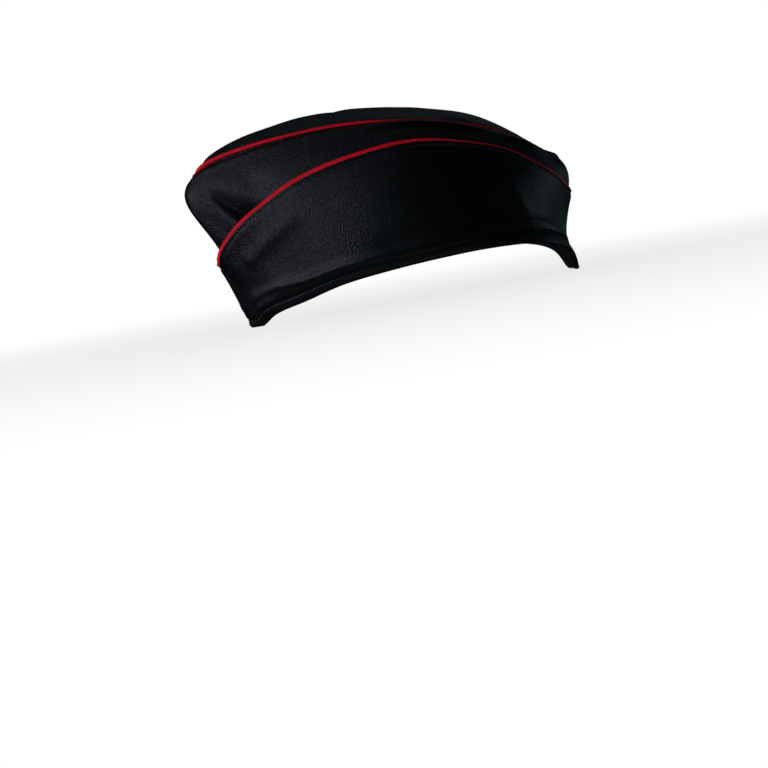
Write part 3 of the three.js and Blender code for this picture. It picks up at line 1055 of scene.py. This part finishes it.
class SIDECAP_OT_stage(bpy.types.Operator):
    """Builds the floor, the backdrop, the lights and the camera"""

    bl_idname = "side_cap.stage"
    bl_label = "Stage"

    def execute(self, context):
        stage = context.scene.side_cap_stage
        add_floor(stage)
        add_backdrop()
        for side, mirror, _ in SIDES:
            lit = lit_half(side)
            for name, place, *setup in SOFTBOXES + RIGHT_SOFTBOXES * mirror:
                turned = (-place[0] if mirror else place[0], place[1])
                add_softbox(f"{name}_softbox_{side}", getattr(stage, f"{name}_power"), turned, *setup, lit)
        world = bpy.data.worlds.new("dim_studio")
        world.use_nodes = True
        feed(world.node_tree.nodes["Background"].inputs["Color"], STUDIO_COLOUR)
        context.scene.world = world
        context.scene.view_settings.view_transform = "Standard"
        add_camera(stage)
        return {"FINISHED"}


def aim(azimuth, elevation):
    """Unit vector from the cap towards an angle round it and above the floor."""
    flat = np.cos(elevation)
    return np.array([np.sin(azimuth) * flat, -np.cos(azimuth) * flat, np.sin(elevation)])


def unit(vector):
    """A vector of length one in the same direction."""
    return vector / np.linalg.norm(vector)


def add_floor(stage):
    """A round floor that turns from lit matte near the cap to even white far from it."""
    ring = np.linspace(0, 2 * np.pi, FLOOR_SIDES, endpoint=False)
    points = np.stack([FLOOR_RADIUS * np.cos(ring), FLOOR_RADIUS * np.sin(ring), 0 * ring], -1)
    mesh = bpy.data.meshes.new("floor")
    mesh.from_pydata(points.tolist(), [], [list(range(FLOOR_SIDES))])
    material, shader, add = new_material("floor_white")
    place = add("ShaderNodeTexCoord").outputs["Object"]
    far = add("ShaderNodeVectorMath", {"operation": "LENGTH"})
    feed(far.inputs[0], place)
    feed(shader.inputs["Base Color"], (*stage.floor_colour, 1))
    feed(shader.inputs["Roughness"], 0.9)
    feed(shader.inputs["Specular IOR Level"], 0.1)
    glow = add("ShaderNodeEmission", Strength=1.0)
    mixed = add("ShaderNodeMixShader")
    feed(mixed.inputs[0], ramp(add, far.outputs["Value"], 0.1, 0.75, 0.8, 1.0))
    feed(mixed.inputs[1], shader.outputs[0])
    feed(mixed.inputs[2], glow.outputs[0])
    feed(material.node_tree.nodes["Material Output"].inputs["Surface"], mixed.outputs[0])
    mesh.materials.append(material)
    floor = add_object("floor", mesh)
    floor.visible_glossy = False
    floor.visible_shadow = False


def add_backdrop():
    """A white dome round the stage, x = r cos a cos b, seen by the camera alone."""
    turn = np.linspace(0, 2 * np.pi, 49)[None, :-1]
    lift = np.linspace(-0.1, np.pi / 2, 17)[:, None]
    dome = (np.cos(turn) * np.cos(lift), np.sin(turn) * np.cos(lift), np.sin(lift) + 0 * turn)
    points = DOME_RADIUS * np.stack(dome, -1).reshape(-1, 3)
    index = np.arange(len(points)).reshape(dome[0].shape)
    after = np.roll(index, -1, axis=1)
    quads = np.stack([index[:-1], index[1:], after[1:], after[:-1]], -1).reshape(-1, 4)
    mesh = bpy.data.meshes.new("backdrop")
    mesh.from_pydata(points.tolist(), [], quads.tolist())
    material, _, add = new_material("backdrop_white")
    glow = add("ShaderNodeEmission", Strength=1.0)
    feed(material.node_tree.nodes["Material Output"].inputs["Surface"], glow.outputs[0])
    mesh.materials.append(material)
    backdrop = add_object("backdrop", mesh)
    backdrop.visible_glossy = False
    backdrop.visible_diffuse = False
    backdrop.visible_transmission = False
    backdrop.visible_shadow = False


def lit_half(side):
    """The meshes that one side's softboxes light: its half of the cap, and on the left all the rest too."""
    lit = bpy.data.collections.new(f"lit_{side}")
    for item in bpy.context.scene.objects:
        half = "right" if item.name.endswith("right") else "left"
        if item.type == "MESH" and half == side:
            lit.objects.link(item)
    return lit


def placed(right, up, back, middle):
    """The matrix that stands an object at a point, with its own x, y and z along three directions."""
    return Matrix(np.vstack([np.stack([right, up, back, middle], 1), [0, 0, 0, 1]]).tolist())


def add_softbox(name, power, place, distance, size, colour, lit):
    """A rectangular area light at an angle round the cap and above the floor, turned towards the cap."""
    light = bpy.data.lights.new(name, "AREA")
    light.shape = "RECTANGLE"
    light.size, light.size_y = size
    light.energy = power
    light.color = colour
    box = add_object(name, light)
    back = aim(*np.radians(place))
    right = unit(np.cross([0, 0, 1.0], back))
    box.matrix_world = placed(right, np.cross(back, right), back, SOFTBOX_AIM + back * distance)
    box.visible_camera = False
    box.light_linking.receiver_collection = lit


def add_camera(stage):
    """A camera whose line of sight is turned so that the rim's middle falls on its place in the frame."""
    anchor = np.array([0, (RIM_MIDDLE - ORIGIN_BACK) * MM, 0])
    back = aim(stage.azimuth, stage.elevation)
    level = unit(np.cross(-back, [0, 0, 1.0]))
    rise = np.cross(level, -back)
    right = np.cos(stage.roll) * level - np.sin(stage.roll) * rise
    up = np.sin(stage.roll) * level + np.cos(stage.roll) * rise
    aside, below = (np.array(RIM_PIXEL) - FRAME / 2) * SENSOR / stage.lens / FRAME
    sight = unit(-back - right * aside + up * below)
    right = unit(right - sight * (right @ sight))
    camera = bpy.data.cameras.new("camera")
    camera.lens = stage.lens
    camera.sensor_width = SENSOR
    camera.clip_start = 0.05
    camera.clip_end = 50
    stand = add_object("camera", camera)
    stand.matrix_world = placed(right, np.cross(right, sight), -sight, anchor + back * stage.distance)
    bpy.context.scene.camera = stand


class SIDECAP_PT_panel(bpy.types.Panel):
    """Lists the cap's operators and settings"""

    bl_idname = "SIDECAP_PT_panel"
    bl_label = "Side Cap"
    bl_space_type = "VIEW_3D"
    bl_region_type = "UI"
    bl_category = "Side Cap"

    def draw(self, context):
        for operator in OPERATORS:
            self.layout.operator(operator.bl_idname)
        for settings in (context.scene.side_cap, context.scene.side_cap_stage):
            box = self.layout.box()
            for name in settings.__annotations__:
                box.prop(settings, name)


OPERATORS = (
    SIDECAP_OT_crown_panels, SIDECAP_OT_top_panel, SIDECAP_OT_turn_ups, SIDECAP_OT_piping,
    SIDECAP_OT_stitches, SIDECAP_OT_stage,
)
CLASSES = (CapSettings, StageSettings, *OPERATORS, SIDECAP_PT_panel)


def register():
    for cls in CLASSES:
        bpy.utils.register_class(cls)
    bpy.types.Scene.side_cap = bpy.props.PointerProperty(type=CapSettings)
    bpy.types.Scene.side_cap_stage = bpy.props.PointerProperty(type=StageSettings)


def unregister():
    del bpy.types.Scene.side_cap_stage
    del bpy.types.Scene.side_cap
    for cls in reversed(CLASSES):
        bpy.utils.unregister_class(cls)


def main():
    register()
    bpy.ops.side_cap.crown_panels()
    bpy.ops.side_cap.top_panel()
    bpy.ops.side_cap.turn_ups()
    bpy.ops.side_cap.piping()
    bpy.ops.side_cap.stitches()
    bpy.ops.side_cap.stage()


if __name__ == "__main__":
    main()
